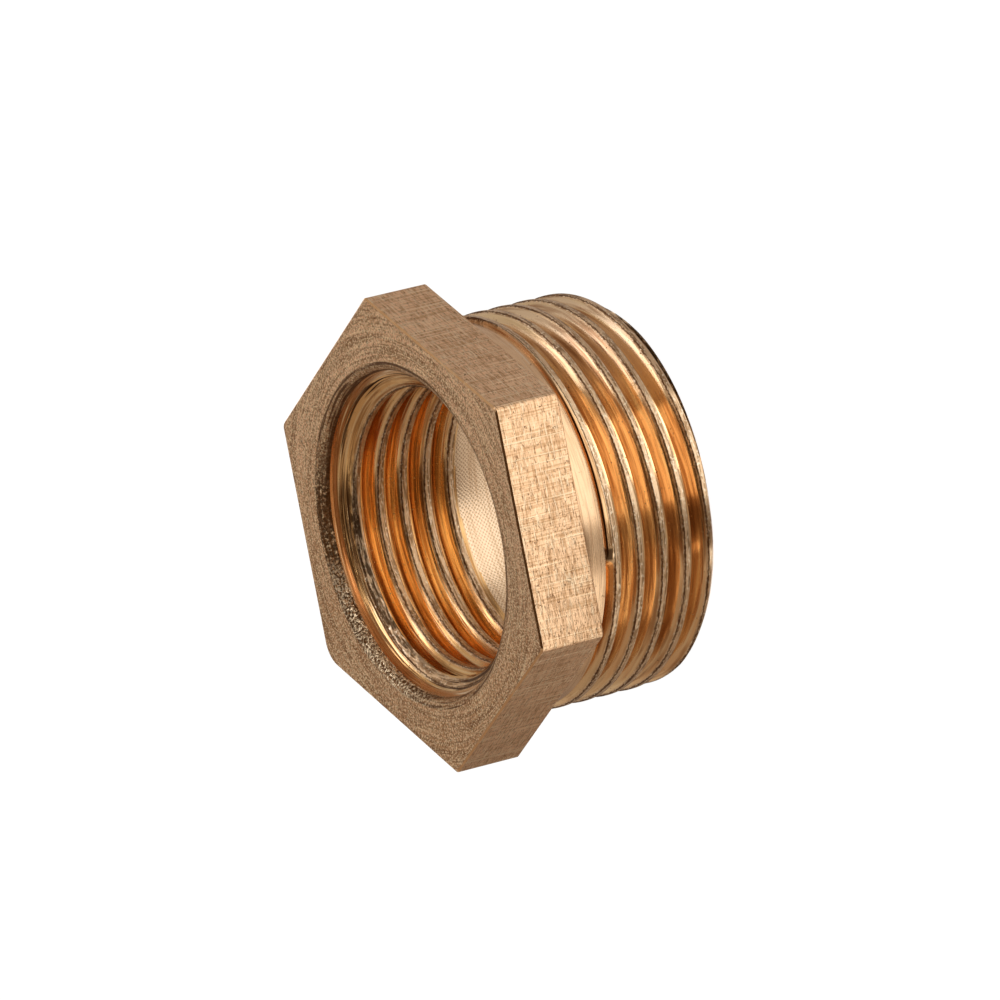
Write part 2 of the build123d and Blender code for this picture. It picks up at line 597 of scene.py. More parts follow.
    def _dress(self, place: bpy.types.Node, share: bpy.types.Node) -> None:
        """Moves the thread's points and gives its faces their finish.

        Args:
            place: where each point of the thread goes.
            share: share of the groove's full depth at the point.
        """
        tree, given = self.tree, self.given
        cut = add(tree, "GeometryNodeInputNamedAttribute", ["cut"], data_type="INT")
        chosen = add(tree, "FunctionNodeCompare", {"A": cut, "B": given["Region"]},
                     data_type="INT", operation="EQUAL")
        moved = add(tree, "GeometryNodeSetPosition",
                    {"Geometry": given["Blank"], "Selection": chosen, "Position": place})
        region = add(tree, "GeometryNodeInputNamedAttribute", ["region"], data_type="INT")
        faces = add(tree, "FunctionNodeCompare", {"A": region, "B": given["Region"]},
                    data_type="INT", operation="EQUAL")
        real = add(tree, "GeometryNodeRealizeInstances", [moved])
        dressed = add(tree, "GeometryNodeSetMaterial",
                      {"Geometry": real, "Selection": faces, "Material": given["Finish"]})
        uncut = add(tree, "ShaderNodeMath", [share, self.UNCUT_SHARE], operation="LESS_THAN")
        plain = add(tree, "FunctionNodeBooleanMath", [faces, uncut], operation="AND")
        dressed = add(tree, "GeometryNodeSetMaterial",
                      {"Geometry": dressed, "Selection": plain,
                       "Material": given["Plain finish"]})
        add(tree, "NodeGroupOutput", [dressed])

    def cut(self, piece: bpy.types.Object, thread: PipeThread, finish: bpy.types.Material,
            plain: bpy.types.Material) -> None:
        """Adds the tree to the blank with one thread's sizes.

        Args:
            piece: the blank.
            thread: the thread to cut.
            finish: the material of the cut surface.
            plain: the material where the threaded length stays uncut.
        """
        modifier = piece.modifiers.new(thread.region.name.lower(), "NODES")
        modifier.node_group = self.tree
        sockets = {s.name: s.identifier for s in self.tree.interface.items_tree
                   if s.in_out == "INPUT"}
        for name, value in thread.values().items():
            modifier[sockets[name]] = value
        modifier[sockets["Finish"]] = finish
        modifier[sockets["Plain finish"]] = plain


@dataclass(frozen=True)
class Layer:
    """One kind of mark laid over the metal.

    Attributes:
        mask: socket or node that is 1 inside the mark and 0 beside it.
        colour: colour of the metal inside the mark.
        roughness: roughness inside the mark.
        relief: height of the mark over its surroundings, in mm. Negative for a cut or a pit.
    """

    mask: bpy.types.Node
    colour: str
    roughness: float
    relief: float = 0.0


class Sketch:
    """Draws masks for marks in one material, in mm on the bushing's own axes.

    In the final picture a pixel is 0.07 mm wide. Marks that are finer on the real part, such as
    grit, tool lines and pits, are drawn 0.1 mm to 0.5 mm wide, as coarse as they need to show.
    """

    # Turning lines follow height plus this share of the radius, so that they stay apart on
    # level faces, upright walls and thread flanks alike.
    RADIUS_SHARE = 1.7

    def __init__(self, tree: bpy.types.NodeTree, lead: float) -> None:
        """Works out place, radius and turn round the axis.

        Args:
            tree: the material's tree.
            lead: how far the turning lines climb in one turn, in mm.
        """
        self.tree = tree
        coordinates = add(tree, "ShaderNodeTexCoord")
        self.place = add(tree, "ShaderNodeVectorMath",
                         {0: coordinates.outputs["Object"], "Scale": 1 / MM}, operation="SCALE")
        axes = add(tree, "ShaderNodeSeparateXYZ", [self.place]).outputs
        self.height = axes["Z"]
        flat = add(tree, "ShaderNodeCombineXYZ", [axes["X"], axes["Y"], 0.0])
        length = add(tree, "ShaderNodeVectorMath", [flat], operation="LENGTH")
        self.radius = length.outputs["Value"]
        angle = add(tree, "ShaderNodeMath", [axes["Y"], axes["X"]], operation="ARCTAN2")
        self.turn = add(tree, "ShaderNodeMath", [angle, FULL_TURN], operation="DIVIDE")
        profile = add(tree, "ShaderNodeMath", [self.radius, self.RADIUS_SHARE, self.height],
                      operation="MULTIPLY_ADD")
        profile = add(tree, "ShaderNodeMath", [self.turn, -lead, profile],
                      operation="MULTIPLY_ADD")
        self.around = add(tree, "ShaderNodeCombineXYZ", [axes["X"], axes["Y"], profile])

    def marks(self, sizes: tuple[float, float, float], low: float, high: float,
              strength: float = 1.0, around: bool = False,
              within: bpy.types.Node | None = None) -> bpy.types.Node:
        """Scatters marks of one size and direction.

        Args:
            sizes: length of a mark along X, Y and Z, in mm. Round the axis, the last one is
                its width across the turning lines.
            low: noise level where a mark begins. Higher levels give fewer marks.
            high: noise level where a mark is at its strongest.
            strength: mask value at that level.
            around: whether the marks run round the axis instead of along X, Y and Z.
            within: mask that keeps the marks to one zone, or None.

        Returns:
            The mask.
        """
        source = self.around if around else self.place
        scale = tuple(1 / size for size in sizes)
        spot = add(self.tree, "ShaderNodeVectorMath", [source, scale], operation="MULTIPLY")
        noise = add(self.tree, "ShaderNodeTexNoise",
                    {"Vector": spot, "Scale": 1.0, "Detail": 2.0, "Roughness": 0.6})
        mask = add(self.tree, "ShaderNodeMapRange", [noise, low, high, 0.0, strength])
        if within is None:
            return mask
        return add(self.tree, "ShaderNodeMath", [mask, within], operation="MULTIPLY")

    def facing(self, bearing: float, spread: float, least: float = 0.0) -> bpy.types.Node:
        """Masks one side of the bushing.

        Args:
            bearing: bearing of the side's middle, in degrees.
            spread: angle from there to where the mask has faded out, in degrees.
            least: mask value beyond that.

        Returns:
            The mask, full over the inner half of the spread.
        """
        turn = math.radians(bearing)
        spoke = (math.cos(turn), math.sin(turn), 0.0)
        reach = add(self.tree, "ShaderNodeVectorMath", [self.place, spoke],
                    operation="DOT_PRODUCT")
        cosine = add(self.tree, "ShaderNodeMath", [reach.outputs["Value"], self.radius],
                     operation="DIVIDE")
        outer, inner = math.cos(math.radians(spread)), math.cos(math.radians(spread / 2))
        return add(self.tree, "ShaderNodeMapRange", [cosine, outer, inner, least, 1.0])


@dataclass(frozen=True)
class BrassFinish:
    """Bare leaded brass, and how one machined surface of it looks.

    Attributes:
        name: the material's name.
        colour: colour of the clean metal.
        roughness: how far the clean surface spreads a reflection.
    """

    name: str
    colour: str
    roughness: float

    @property
    def lead(self) -> float:
        """How far the turning lines climb in one turn, in mm."""
        return 0.0

    def material(self) -> bpy.types.Material:
        """Builds the material: clean metal, with this finish's marks laid over it in order.

        Returns:
            The material, all metal.
        """
        material = bpy.data.materials.new(self.name)
        material.use_nodes = True
        tree = material.node_tree
        tree.nodes.clear()
        shader = add(tree, "ShaderNodeBsdfPrincipled", {"Metallic": 1.0})
        colour, roughness, height = linear(self.colour), self.roughness, 0.0
        for layer in self.layers(Sketch(tree, self.lead)):
            tint = add(tree, "ShaderNodeMix", {0: layer.mask, 6: colour, 7: linear(layer.colour)},
                       data_type="RGBA")
            colour = tint.outputs[2]
            roughness = add(tree, "ShaderNodeMix", [layer.mask, None, roughness, layer.roughness])
            height = add(tree, "ShaderNodeMath", [layer.mask, layer.relief, height],
                         operation="MULTIPLY_ADD")
        bump = add(tree, "ShaderNodeBump", {"Height": height, "Distance": MM})
        tree.links.new(colour, shader.inputs["Base Color"])
        tree.links.new(roughness.outputs[0], shader.inputs["Roughness"])
        tree.links.new(bump.outputs["Normal"], shader.inputs["Normal"])
        add(tree, "ShaderNodeOutputMaterial", {"Surface": shader})
        return material

    def layers(self, sketch: Sketch) -> list[Layer]:
        """Draws the finish's marks.

        Args:
            sketch: the drawing board on the material's tree.

        Returns:
            The layers, the lowest first.
        """
        raise NotImplementedError


@dataclass(frozen=True)
class SawnFace(BrassFinish):
    """Hex face as the parting tool left it: a dull, granular skin with faint turning arcs.

    The grain is what catches single points of light and makes the face look like raw metal.
    Painted shade browns the side of the worn corner. The real grain is about 0.05 mm across, too
    fine to show, and is drawn 0.13 mm to 0.26 mm across.

    Attributes:
        side_shade: how strong the painted shade is.
        side_shade_bearing: bearing of the shaded side's middle, in degrees.
        side_shade_spread: angle from there to where it has faded out.
    """

    side_shade: float = 0.48
    side_shade_bearing: float = 165.0
    side_shade_spread: float = 110.0

    def layers(self, sketch: Sketch) -> list[Layer]:
        """Draws painted shade on one side, dark arcs and bright ones, dark grain, pits and bright
        grain.

        Args:
            sketch: the drawing board on the material's tree.

        Returns:
            The layers, the lowest first.
        """
        side = sketch.facing(self.side_shade_bearing, self.side_shade_spread)
        side_shade = add(sketch.tree, "ShaderNodeMath", [side, self.side_shade], operation="MULTIPLY")
        return [
            # Painted shade that browns the side of the worn corner.
            Layer(side_shade, "#AC7848", 0.48),
            Layer(sketch.marks((2.6, 2.6, 2.6), 0.40, 0.66, 0.35), "#BC8756", 0.50),
            Layer(sketch.marks((5.0, 5.0, 0.34), 0.46, 0.60, 0.66, around=True), "#8A5F3A",
                  0.52, -0.006),
            Layer(sketch.marks((4.0, 4.0, 0.26), 0.57, 0.66, 0.80, around=True), "#FFE0B4",
                  0.36, 0.010),
            Layer(sketch.marks((0.14, 0.14, 0.14), 0.46, 0.60, 0.58), "#6E4826", 0.60, -0.018),
            Layer(sketch.marks((0.26, 0.26, 0.26), 0.60, 0.68, 0.75), "#432610", 0.62, -0.022),
            Layer(sketch.marks((0.13, 0.13, 0.13), 0.51, 0.60, 0.85), "#FFE2B6", 0.28, 0.020),
        ]


@dataclass(frozen=True)
class TornLip(SawnFace):
    """Rounded lip of the bore, torn dark on one side with a row of painted glints beside it.

    The tears are pits with no clear reflection, and the glints are painted highlights on their
    upper edges.

    Attributes:
        torn_bearing: bearing of the torn stretch's middle, in degrees.
        torn_spread: angle from there to where it has all but faded out.
        glint_bearing: bearing of the glinting stretch's middle.
        glint_spread: angle from there to where it has faded out.
    """

    torn_bearing: float = 97.0
    torn_spread: float = 48.0
    glint_bearing: float = 136.0
    glint_spread: float = 40.0

    def layers(self, sketch: Sketch) -> list[Layer]:
        """Draws the hex face's grain, then dark tears and painted glints on their torn edges.

        Args:
            sketch: the drawing board on the material's tree.

        Returns:
            The layers, the lowest first.
        """
        torn = sketch.facing(self.torn_bearing, self.torn_spread, least=0.25)
        glinting = sketch.facing(self.glint_bearing, self.glint_spread)
        return [
            *super().layers(sketch),
            Layer(sketch.marks((0.20, 0.20, 0.20), 0.36, 0.54, 0.88, within=torn), "#3C240F",
                  0.60, -0.03),
            Layer(sketch.marks((6.0, 6.0, 0.40), 0.50, 0.56, 0.85, around=True), "#5A3819",
                  0.45, -0.020),
            # Painted highlights: bright glints along the torn edges on one side.
            Layer(sketch.marks((0.16, 0.16, 0.16), 0.48, 0.58, 1.0, within=glinting), "#FFE8C4",
                  0.22, 0.03),
        ]


@dataclass(frozen=True)
class DrawnFlats(BrassFinish):
    """Flats of the drawn hex bar: drawing lines along the axis, crossed by fine roll marks.

    The two sets of lines together give the flats their woven look. The real lines are a few
    hundredths of a millimetre wide and are drawn 0.1 mm to 0.2 mm wide.
    """

    def layers(self, sketch: Sketch) -> list[Layer]:
        """Draws faint tarnished blotches, both sets of lines, single bright scratches and pits.

        Args:
            sketch: the drawing board on the material's tree.

        Returns:
            The layers, the lowest first.
        """
        return [
            Layer(sketch.marks((1.8, 1.8, 1.8), 0.42, 0.66, 0.20), "#BE8B5A", 0.40),
            Layer(sketch.marks((0.12, 0.12, 5.0), 0.48, 0.62, 0.45), "#A8763F", 0.42, -0.012),
            Layer(sketch.marks((1.1, 1.1, 0.11), 0.48, 0.61, 0.50), "#9E6D3C", 0.45, -0.014),
            Layer(sketch.marks((0.34, 0.34, 0.13), 0.58, 0.68, 0.60), "#7A4E28", 0.50, -0.020),
            Layer(sketch.marks((0.18, 0.18, 14.0), 0.57, 0.66, 0.75), "#FFE2B8", 0.26, 0.016),
            Layer(sketch.marks((0.9, 0.9, 0.12), 0.55, 0.65, 0.78), "#FFE2BA", 0.28, 0.016),
            Layer(sketch.marks((0.26, 0.26, 0.20), 0.66, 0.73, 0.80), "#6A4424", 0.60, -0.02),
        ]


@dataclass(frozen=True)
class TurnedBrass(BrassFinish):
    """Smooth turned surface with fine tool lines round the axis.

    The lines keep the broad reflections on the neck and the end face from looking polished.

    Attributes:
        lines: how strong the tool lines are.
    """

    lines: float = 0.45

    def layers(self, sketch: Sketch) -> list[Layer]:
        """Draws soft clouds, dark tool lines and bright ones.

        Args:
            sketch: the drawing board on the material's tree.

        Returns:
            The layers, the lowest first.
        """
        return [
            Layer(sketch.marks((1.8, 1.8, 1.8), 0.45, 0.70, 0.20), "#C4935F", 0.30),
            Layer(sketch.marks((4.0, 4.0, 0.16), 0.48, 0.68, self.lines, around=True),
                  "#9C6C3C", 0.34, -0.003),
            Layer(sketch.marks((6.0, 6.0, 0.22), 0.58, 0.70, self.lines, around=True),
                  "#FFF0D4", 0.24, 0.002),
            Layer(sketch.marks((0.22, 0.22, 0.22), 0.69, 0.75, 0.75), "#6A4420", 0.5, -0.01),
        ]


@dataclass(frozen=True)
class ChatteredBore(BrassFinish):
    """Plain bore wall with the ripple that a chattering reamer leaves.

    The ripple breaks the bore's bright reflection into rows of small dots. Its real rows are
    about 0.15 mm apart, and are drawn nearly twice as far apart so that they show.

    Attributes:
        ripple_rise: distance between two rows of dots along the axis, in mm.
        ripple_count: dots in one turn.
    """

    ripple_rise: float = 0.28
    ripple_count: int = 190

    def layers(self, sketch: Sketch) -> list[Layer]:
        """Draws tool lines, and the ripple as the product of two waves.

        Args:
            sketch: the drawing board on the material's tree.

        Returns:
            The layers, the lowest first.
        """
        tree = sketch.tree
        lift = add(tree, "ShaderNodeMath", [sketch.height, FULL_TURN / self.ripple_rise],
                   operation="MULTIPLY")
        wander = sketch.marks((1.6, 1.6, 0.5), 0.0, 1.0, 5.0)
        rows = add(tree, "ShaderNodeMath", [lift, wander], operation="ADD")
        rows = add(tree, "ShaderNodeMath", [rows], operation="SINE")
        column = add(tree, "ShaderNodeMath",
                     [sketch.turn, FULL_TURN * self.ripple_count, wander],
                     operation="MULTIPLY_ADD")
        dots = add(tree, "ShaderNodeMath", [column], operation="SINE")
        ripple = add(tree, "ShaderNodeMath", [rows, dots], operation="MULTIPLY")
        ripple = add(tree, "ShaderNodeMapRange", [ripple, -0.2, 0.9, 0.0, 0.6])
        return [
            Layer(sketch.marks((5.0, 5.0, 0.20), 0.50, 0.70, 0.40, around=True), "#BE8E5A",
                  0.30, -0.002),
            Layer(ripple, "#C49868", 0.30, -0.006),
        ]


@dataclass(frozen=True)
class CutThread(BrassFinish):
    """Freshly cut thread: bright flanks, torn crests and a ragged burr at their hex side.

    The flanks face one another, so light leaves them twice tinted and the grooves glow orange.

    Attributes:
        thread: the thread that the finish is for.
        torn_low: height where the torn skin at the thread's mouth begins, in mm.
        torn_high: height where it ends, in mm.
        torn_bearing: bearing of the torn skin's middle, in degrees.
        torn_spread: angle from there to where it has all but faded out.
        side_light: how strong the painted light is, a paler and rougher skin on the side that faces
            side_light_bearing.
        side_light_bearing: bearing of that side's middle, in degrees.
        side_light_spread: angle from there to where it has faded out.
        burr_width: half the width of the dark burr line, in mm.
        burr_inset: distance of that line from the crest's edge, in mm.
        shoulder_shade_bearing: bearing where the painted shade under the neck is darkest, in
            degrees.
        shoulder_shade_spread: angle from there to where it has all but faded out.
    """

    # How far the burr line wavers, in mm.
    BURR_WAVER = 0.08
    # Height over which the torn skin fades at its two borders, in mm.
    TORN_FADE = 0.08
    # Distance from the top of the torn skin down to the border of the chamfer or cone, in mm.
    LEAD_IN_BORDER = 0.05
    # Width of the painted shade on the shoulder, and slack that takes in the shoulder's own edge,
    # in mm.
    SHOULDER_SHADE_WIDTH = 0.16
    EDGE_SLACK = 0.01
    # Height of the step at the thread's stop that is painted dark as shade, in mm.
    STOP_HEIGHT = 0.32
    # Turns to each side of the stop where that painted shade is darkest, and where it has faded
    # out.
    STOP_CORE = 0.004
    STOP_REACH = 0.007

    thread: PipeThread
    torn_low: float
    torn_high: float
    torn_bearing: float
    torn_spread: float = 60.0
    side_light: float = 0.0
    side_light_bearing: float = -8.0
    side_light_spread: float = 50.0
    burr_width: float = 0.045
    burr_inset: float = 0.07
    shoulder_shade_bearing: float = -92.0
    shoulder_shade_spread: float = 56.0

    @property
    def lead(self) -> float:
        """The tool lines follow the thread's own helix."""
        return self.thread.pitch

    def _across(self, sketch: Sketch) -> bpy.types.Node:
        """Measures how far the point lies above the middle of its nearest groove.

        Args:
            sketch: the drawing board on the material's tree.

        Returns:
            The distance in mm, negative below the middle.
        """
        pitch = self.thread.pitch
        climb = add(sketch.tree, "ShaderNodeMath", [sketch.turn, -pitch, sketch.height],
                    operation="MULTIPLY_ADD")
        start = add(sketch.tree, "ShaderNodeMath", [climb, self.thread.groove_height],
                    operation="SUBTRACT")
        return add(sketch.tree, "ShaderNodeMath", [start, pitch / 2, -pitch / 2],
                   operation="WRAP")

    def _burr(self, sketch: Sketch, across: bpy.types.Node) -> bpy.types.Node:
        """Masks the wavering burr line along the hex side of each crest.

        Args:
            sketch: the drawing board on the material's tree.
            across: height over the middle of the nearest groove, in mm.

        Returns:
            The mask.
        """
        tree = sketch.tree
        ragged = sketch.marks((0.18, 0.18, 0.18), 0.25, 0.75, self.BURR_WAVER)
        line = self.thread.half_width + self.thread.easing - self.burr_inset
        edge = add(tree, "ShaderNodeMath", [across, line], operation="ADD")
        edge = add(tree, "ShaderNodeMath", [edge, ragged], operation="ADD")
        edge = add(tree, "ShaderNodeMath", [edge], operation="ABSOLUTE")
        return add(tree, "ShaderNodeMapRange",
                   [edge, self.burr_width, self.burr_width * 0.4, 0.0, 0.85])

    def _mouth(self, sketch: Sketch) -> bpy.types.Node:
        """Masks the torn skin where the tool entered, on the side that it is torn on.

        Args:
            sketch: the drawing board on the material's tree.

        Returns:
            The mask.
        """
        tree = sketch.tree
        middle, half = (self.torn_low + self.torn_high) / 2, (self.torn_high - self.torn_low) / 2
        off = add(tree, "ShaderNodeMath", [sketch.height, middle], operation="SUBTRACT")
        off = add(tree, "ShaderNodeMath", [off], operation="ABSOLUTE")
        mouth = add(tree, "ShaderNodeMapRange", [off, half, half - self.TORN_FADE])
        facing = sketch.facing(self.torn_bearing, self.torn_spread, least=0.12)
        return add(tree, "ShaderNodeMath", [mouth, facing], operation="MULTIPLY")

    def _shoulder_shade(self, sketch: Sketch) -> bpy.types.Node:
        """Masks the step up from the neck, painted dark as shade on the side of the thread's stop.

        Args:
            sketch: the drawing board on the material's tree.

        Returns:
            The mask.
        """
        tree, thread = sketch.tree, self.thread
        over = add(tree, "ShaderNodeMath", [sketch.height, thread.shoulder - self.EDGE_SLACK],
                   operation="GREATER_THAN")
        rim = add(tree, "ShaderNodeMath", [sketch.radius, thread.crest_radius - self.SHOULDER_SHADE_WIDTH],
                  operation="GREATER_THAN")
        step = add(tree, "ShaderNodeMath", [over, rim], operation="MULTIPLY")
        shade = sketch.facing(self.shoulder_shade_bearing, self.shoulder_shade_spread, least=0.06)
        return add(tree, "ShaderNodeMath", [step, shade], operation="MULTIPLY")

    def _stop_shade(self, sketch: Sketch, across: bpy.types.Node) -> bpy.types.Node:
        """Masks the small step in which the last turn stops short of the shoulder, painted dark as
        shade.

        Args:
            sketch: the drawing board on the material's tree.
            across: height over the middle of the nearest groove, in mm.

        Returns:
            The mask.
        """
        tree, thread = sketch.tree, self.thread
        along = add(tree, "ShaderNodeMath", [sketch.height, across], operation="SUBTRACT")
        along = add(tree, "ShaderNodeMath", [along, thread.groove_height], operation="SUBTRACT")
        along = add(tree, "ShaderNodeMath", [along, thread.pitch], operation="DIVIDE")
        stop = add(tree, "ShaderNodeMath", [along, thread.last_turn], operation="SUBTRACT")
        stop = add(tree, "ShaderNodeMath", [stop], operation="ABSOLUTE")
        stop = add(tree, "ShaderNodeMapRange",
                   [stop, self.STOP_REACH, self.STOP_CORE, 0.0, 0.9])
        upper = add(tree, "ShaderNodeMath", [sketch.height, thread.shoulder - self.STOP_HEIGHT],
                    operation="GREATER_THAN")
        return add(tree, "ShaderNodeMath", [stop, upper], operation="MULTIPLY")

    def _lead_in(self, sketch: Sketch) -> bpy.types.Node:
        """Masks the chamfer or lead-in cone past the torn skin.

        Args:
            sketch: the drawing board on the material's tree.

        Returns:
            The mask.
        """
        inside = self.thread.side is Side.FROM_AXIS
        border = self.torn_high - self.LEAD_IN_BORDER
        return add(sketch.tree, "ShaderNodeMath", [sketch.height, border],
                   operation="GREATER_THAN" if inside else "LESS_THAN")

    def layers(self, sketch: Sketch) -> list[Layer]:
        """Draws flank streaks, then the crest's skin, the burr line and the torn mouth.

        Args:
            sketch: the drawing board on the material's tree.

        Returns:
            The layers, the lowest first.
        """
        tree, half_width = sketch.tree, self.thread.half_width
        across = self._across(sketch)
        away = add(tree, "ShaderNodeMath", [across], operation="ABSOLUTE")
        root = add(tree, "ShaderNodeMapRange",
                   [away, half_width * 0.55, half_width * 0.2, 0.0, 0.25])
        crest = add(tree, "ShaderNodeMapRange", [away, half_width - 0.05, half_width + 0.02])
        side_lit = sketch.facing(self.side_light_bearing, self.side_light_spread)
        side_lit = add(tree, "ShaderNodeMath", [side_lit, self.side_light], operation="MULTIPLY")
        mouth = self._mouth(sketch)
        return [
            # Painted shade: the groove roots are painted darker.
            Layer(root, "#9A5F28", 0.22),
            # Painted light: one side is painted paler, and is made rougher there too.
            Layer(side_lit, "#F2DEC2", 0.34),
            Layer(sketch.marks((6.0, 6.0, 0.40), 0.47, 0.60, 0.65, around=True), "#9C6430",
                  0.24, -0.008),
            Layer(sketch.marks((8.0, 8.0, 0.46), 0.52, 0.62, 0.65, around=True), "#FFDFAE",
                  0.20, 0.006),
            Layer(sketch.marks((0.20, 0.20, 0.20), 0.68, 0.74, 0.80), "#5A3414", 0.5, -0.01),
            Layer(crest, "#E6C49C", 0.38),
            Layer(sketch.marks((1.6, 1.6, 0.14), 0.47, 0.58, 0.72, within=crest), "#825A34",
                  0.45, -0.008),
            Layer(sketch.marks((0.24, 0.24, 0.14), 0.54, 0.66, 0.80, within=crest), "#FFEBCB",
                  0.28, 0.008),
            Layer(self._burr(sketch, across), "#55341A", 0.55, 0.01),
            Layer(sketch.marks((0.9, 0.9, 0.13), 0.36, 0.52, 0.90, within=mouth), "#3E2712",
                  0.45, -0.02),
            Layer(sketch.marks((0.30, 0.30, 0.12), 0.60, 0.70, 0.30, within=mouth), "#F2D0A0",
                  0.30, 0.01),
            Layer(sketch.marks((9.0, 9.0, 0.34), 0.50, 0.56, 0.90, around=True,
                               within=self._lead_in(sketch)), "#4A2C14", 0.35, -0.02),
            # Painted shade on the step up from the neck.
            Layer(self._shoulder_shade(sketch), "#3A2210", 0.6),
            # Painted shade in the step where the thread stops.
            Layer(self._stop_shade(sketch, across), "#3A2210", 0.6),
        ]


@dataclass
class Bushing:
    """The whole bushing: its blank as one run of rings, and the two threads cut into it.

    Attributes:
        height: height over all, in mm, as are all lengths here.
        across_flats: width of the collar between two opposite flats.
        shank_length: height of the collar's underside over the male end face.
        neck_length: length of shank and neck above the male thread.
        neck_slope: height of the sloped step from the thread down to the neck.
        neck_radius: radius of the plain neck.
        shoulder_radius: rounding between neck and collar.
        crest_radius: radius of the male crests.
        end_chamfer: chamfer at the male end.
        end_face_radius: radius where the flat of the male end face ends.
        bore_radius: radius of the plain bore and of the female crests.
        exit_chamfer: chamfer where the bore leaves the male end.
        counterbore_radius: radius of the short counterbore in the hex face.
        counterbore_depth: depth of its ledge under the hex face.
        ledge_radius: radius where the ledge turns into the lead-in cone.
        lip_radius: rounding between the hex face and the counterbore.
        lead_in_depth: height of the lead-in cone.
        female_thread_low: height where the female thread's rows end.
    """

    height: float
    across_flats: float
    shank_length: float = 10.7
    neck_length: float = 1.96
    neck_slope: float = 0.10
    neck_radius: float = 12.9
    shoulder_radius: float = 0.4
    crest_radius: float = 13.2
    end_chamfer: float = 0.75
    end_face_radius: float = 11.9
    bore_radius: float = 9.45
    exit_chamfer: float = 0.3
    counterbore_radius: float = 10.85
    counterbore_depth: float = 1.1
    ledge_radius: float = 10.55
    lip_radius: float = 0.7
    lead_in_depth: float = 0.8
    female_thread_low: float = 5.6

    def __post_init__(self) -> None:
        """Works out the collar and the threads from the bushing's own sizes."""
        self.columns = Columns(COLUMNS)
        self.collar = HexCollar(self.across_flats, self.shank_length, self.height)
        shelf = self.height - self.counterbore_depth
        cone_bottom = shelf - self.lead_in_depth
        flare = (self.ledge_radius - self.bore_radius) / self.lead_in_depth
        self.male = PipeThread(
            Region.MALE_THREAD, Side.TOWARDS_AXIS, self.crest_radius, depth=1.14,
            root_radius=0.15, groove_height=0.489, low=self.end_chamfer,
            high=self.shank_length - self.neck_length, first_turn=-9.0, last_turn=4.713,
            run_out=0.012, cone_radius=self.crest_radius - self.end_chamfer, cone_height=0.0,
            cone_slope=1.0, shoulder=self.shank_length - self.neck_length,
        )
        self.female = PipeThread(
            Region.FEMALE_THREAD, Side.FROM_AXIS, self.bore_radius, depth=1.03,
            root_radius=0.24, groove_height=6.861, low=self.female_thread_low,
            high=cone_bottom, first_turn=-0.238, last_turn=9.0, run_out=0.06,
            cone_radius=self.bore_radius, cone_height=cone_bottom, cone_slope=flare,
        )
        self.shelf = shelf
        self.lip_outer = self.counterbore_radius + self.lip_radius

    def shank_rings(self) -> list[Ring]:
        """Lays the male end: end face, chamfer, threaded length, neck and shoulder.

        Returns:
            The rings, from the bore's edge outwards and up.
        """
        circle = self.columns.circle
        exit_radius = self.bore_radius + self.exit_chamfer
        rings = [
            Ring(circle(exit_radius), 0.0, Region.END_FACE),
            Ring(circle((exit_radius + self.end_face_radius) / 2), 0.0, Region.END_FACE),
            Ring(circle(self.end_face_radius), 0.0, Region.END_FACE),
        ]
        chamfer = np.linspace(0.0, self.end_chamfer, 7, endpoint=False)
        rings += self.male.cone_rings(self.columns, chamfer)
        rings += self.male.helical_rings(self.columns)
        top = self.shank_length - self.shoulder_radius
        for height in np.linspace(self.male.high + self.neck_slope, top, 4):
            rings.append(Ring(circle(self.neck_radius), float(height), Region.NECK))
        for angle in np.radians((30, 60)):
            radius = self.neck_radius + self.shoulder_radius * (1 - math.cos(angle))
            height = top + self.shoulder_radius * math.sin(angle)
            rings.append(Ring(circle(radius), height, Region.NECK))
        return rings

    def bore_rings(self) -> list[Ring]:
        """Lays the bore from the hex face down: lip, counterbore, cone, thread, plain bore.

        Returns:
            The rings, highest first.
        """
        circle = self.columns.circle
        rings = []
        for angle in np.radians((0, 15, 30, 45, 60, 75, 90)):
            radius = self.lip_outer - self.lip_radius * math.sin(angle)
            height = self.height - self.lip_radius * (1 - math.cos(angle))
            rings.append(Ring(circle(radius), height, Region.LIP))
        rings[-1].region = Region.MOUTH
        rings.append(Ring(circle(self.counterbore_radius), self.shelf, Region.MOUTH))
        cone = np.linspace(self.shelf, self.female.high, 9, endpoint=False)
        rings += self.female.cone_rings(self.columns, cone)
        rings += reversed(self.female.helical_rings(self.columns))
        rings[-1].region = Region.BORE
        for height in np.linspace(self.female.low, self.exit_chamfer, 8)[1:]:
            rings.append(Ring(circle(self.bore_radius), float(height), Region.BORE))
        return rings

